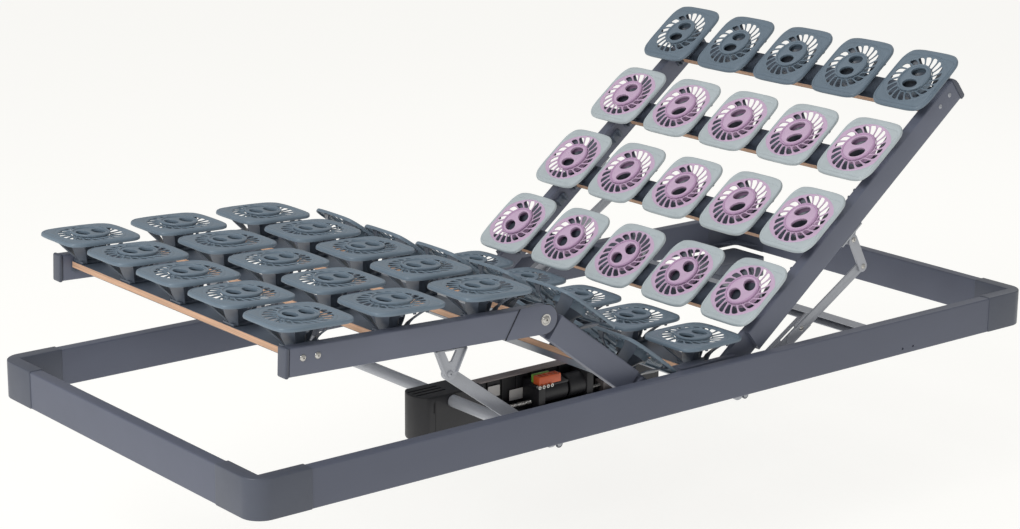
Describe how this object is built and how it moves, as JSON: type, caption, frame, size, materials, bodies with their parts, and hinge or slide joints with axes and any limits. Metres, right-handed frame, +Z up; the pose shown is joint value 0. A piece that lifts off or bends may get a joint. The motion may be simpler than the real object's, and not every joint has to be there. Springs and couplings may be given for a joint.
{
  "type": "adjustable bed base",
  "caption": "Slatted bed base in a flat outer frame, with sprung plates on wooden cross slats, a motor-driven back lift and a leg lift that folds at the knee.",
  "frame": {"origin": "centre of the plane of the outer frame's underside, which lies on the bedstead's ledges", "axes": "+X towards the head end, +Y towards the sleeper's right side, +Z up"},
  "size_m": [2.003, 0.903, 0.7051],
  "materials": {
    "frame_foil": "slate-grey foil wrapped round laminated wood, satin",
    "cap_plastic": "dark slate moulded plastic, satin",
    "plate_plastic": "blue-grey moulded plastic, satin",
    "module_plastic": "dark blue-grey moulded plastic under the plates, satin",
    "touch_plastic": "soft lilac moulded plastic, satin",
    "touch_border": "pale grey-green moulded plastic, satin",
    "slat_wood": "bare laminated beech edge, satin",
    "grey_steel": "light grey powder coat, satin",
    "bolt_steel": "zinc-plated steel",
    "drive_plastic": "charcoal moulded plastic, satin",
    "drive_flange": "brown-grey extruded metal, satin",
    "plug_orange": "orange moulded connector plastic",
    "plug_green": "green moulded connector plastic",
    "label_white": "blank white label film"
  },
  "bodies": {
    "base": {"side_rail_left": "frame_foil", "side_rail_right": "frame_foil", "end_rail_foot": "frame_foil", "end_rail_head": "frame_foil", "corner_cap_foot_left": "cap_plastic", "corner_cap_foot_right": "cap_plastic", "corner_cap_head_left": "cap_plastic", "corner_cap_head_right": "cap_plastic", "cross_member": "grey_steel", "tube_bracket_leg_left": "grey_steel", "tube_bracket_leg_right": "grey_steel", "tube_bracket_back_left": "grey_steel", "tube_bracket_back_right": "grey_steel", "seat_rail_left": "frame_foil", "seat_rail_right": "frame_foil", "spring_row_seat": "plate_plastic", "drive_housing": "drive_plastic", "drive_end_foot": "drive_plastic", "leg_motor": "drive_plastic", "back_motor": "drive_plastic", "power_supply": "cap_plastic"},
    "thigh": {"thigh_rail_left": "frame_foil", "thigh_rail_right": "frame_foil", "thigh_bolt_left": "bolt_steel", "thigh_bolt_right": "bolt_steel", "spring_row_thigh_1": "plate_plastic", "spring_row_thigh_2": "plate_plastic"},
    "calf": {"calf_rail_left": "frame_foil", "calf_rail_right": "frame_foil", "knee_bolt_left": "bolt_steel", "knee_bolt_right": "bolt_steel", "calf_end_cap_left": "cap_plastic", "calf_end_cap_right": "cap_plastic", "v_bracket_left": "grey_steel", "v_bracket_right": "grey_steel", "spring_row_calf_1": "plate_plastic", "spring_row_calf_2": "plate_plastic", "spring_row_calf_3": "plate_plastic"},
    "back": {"back_rail_left": "frame_foil", "back_rail_right": "frame_foil", "back_bolt_left": "bolt_steel", "back_bolt_right": "bolt_steel", "back_end_cap_left": "cap_plastic", "back_end_cap_right": "cap_plastic", "link_ear_left": "grey_steel", "link_ear_right": "grey_steel", "spring_row_back_1": "touch_plastic", "spring_row_back_2": "touch_plastic", "spring_row_back_3": "touch_plastic", "spring_row_back_4": "plate_plastic"},
    "leg_crank": {"leg_torque_tube": "grey_steel", "leg_arm_left": "grey_steel", "leg_arm_right": "grey_steel"},
    "back_crank": {"back_torque_tube": "grey_steel", "back_arm_left": "grey_steel", "back_arm_right": "grey_steel"},
    "back_link": {"back_link_left": "grey_steel", "back_link_right": "grey_steel"},
    "leg_slider": {"leg_slider": "bolt_steel"},
    "back_slider": {"back_slider": "bolt_steel"}
  },
  "joints": [
    {"name": "thigh_lift", "type": "hinge", "parent": "base", "child": "thigh", "pos_m": [-0.078, 0, 0.045], "axis": [0, 1, 0], "range_deg": [-36.9, 3]},
    {"name": "knee_fold", "type": "hinge", "parent": "thigh", "child": "calf", "pos_m": [-0.32702, 0, 0.23197], "axis": [0, 1, 0], "range_deg": [-3, 35]},
    {"name": "leg_crank_turn", "type": "hinge", "parent": "base", "child": "leg_crank", "pos_m": [-0.291, 0, -0.017], "axis": [0, 1, 0], "range_deg": [-39, 3.5]},
    {"name": "leg_slide", "type": "slide", "parent": "base", "child": "leg_slider", "axis": [1, 0, 0], "range_m": [-0.004, 0.04]},
    {"name": "back_lift", "type": "hinge", "parent": "base", "child": "back", "pos_m": [0.163, 0, 0.045], "axis": [0, -1, 0], "range_deg": [-38.1, 12]},
    {"name": "back_crank_turn", "type": "hinge", "parent": "base", "child": "back_crank", "pos_m": [0.1955, 0, -0.017], "axis": [0, -1, 0], "range_deg": [-38.5, 12.4]},
    {"name": "back_link_swing", "type": "hinge", "parent": "back", "child": "back_link", "pos_m": [0.502, 0, 0.254], "axis": [0, -1, 0], "range_deg": [-12.4, 38.5]},
    {"name": "back_slide", "type": "slide", "parent": "base", "child": "back_slider", "axis": [1, 0, 0], "range_m": [-0.034, 0.011]}
  ],
  "couplings": [
    {"joint": "knee_fold", "follows": "thigh_lift", "ratio": -0.9404},
    {"joint": "leg_crank_turn", "follows": "thigh_lift", "ratio": 1.0455},
    {"joint": "leg_slide", "follows": "thigh_lift", "m_per_rad": -0.0606},
    {"joint": "back_crank_turn", "follows": "back_lift", "ratio": 1},
    {"joint": "back_link_swing", "follows": "back_lift", "ratio": -1},
    {"joint": "back_slide", "follows": "back_lift", "m_per_rad": 0.05}
  ]
}
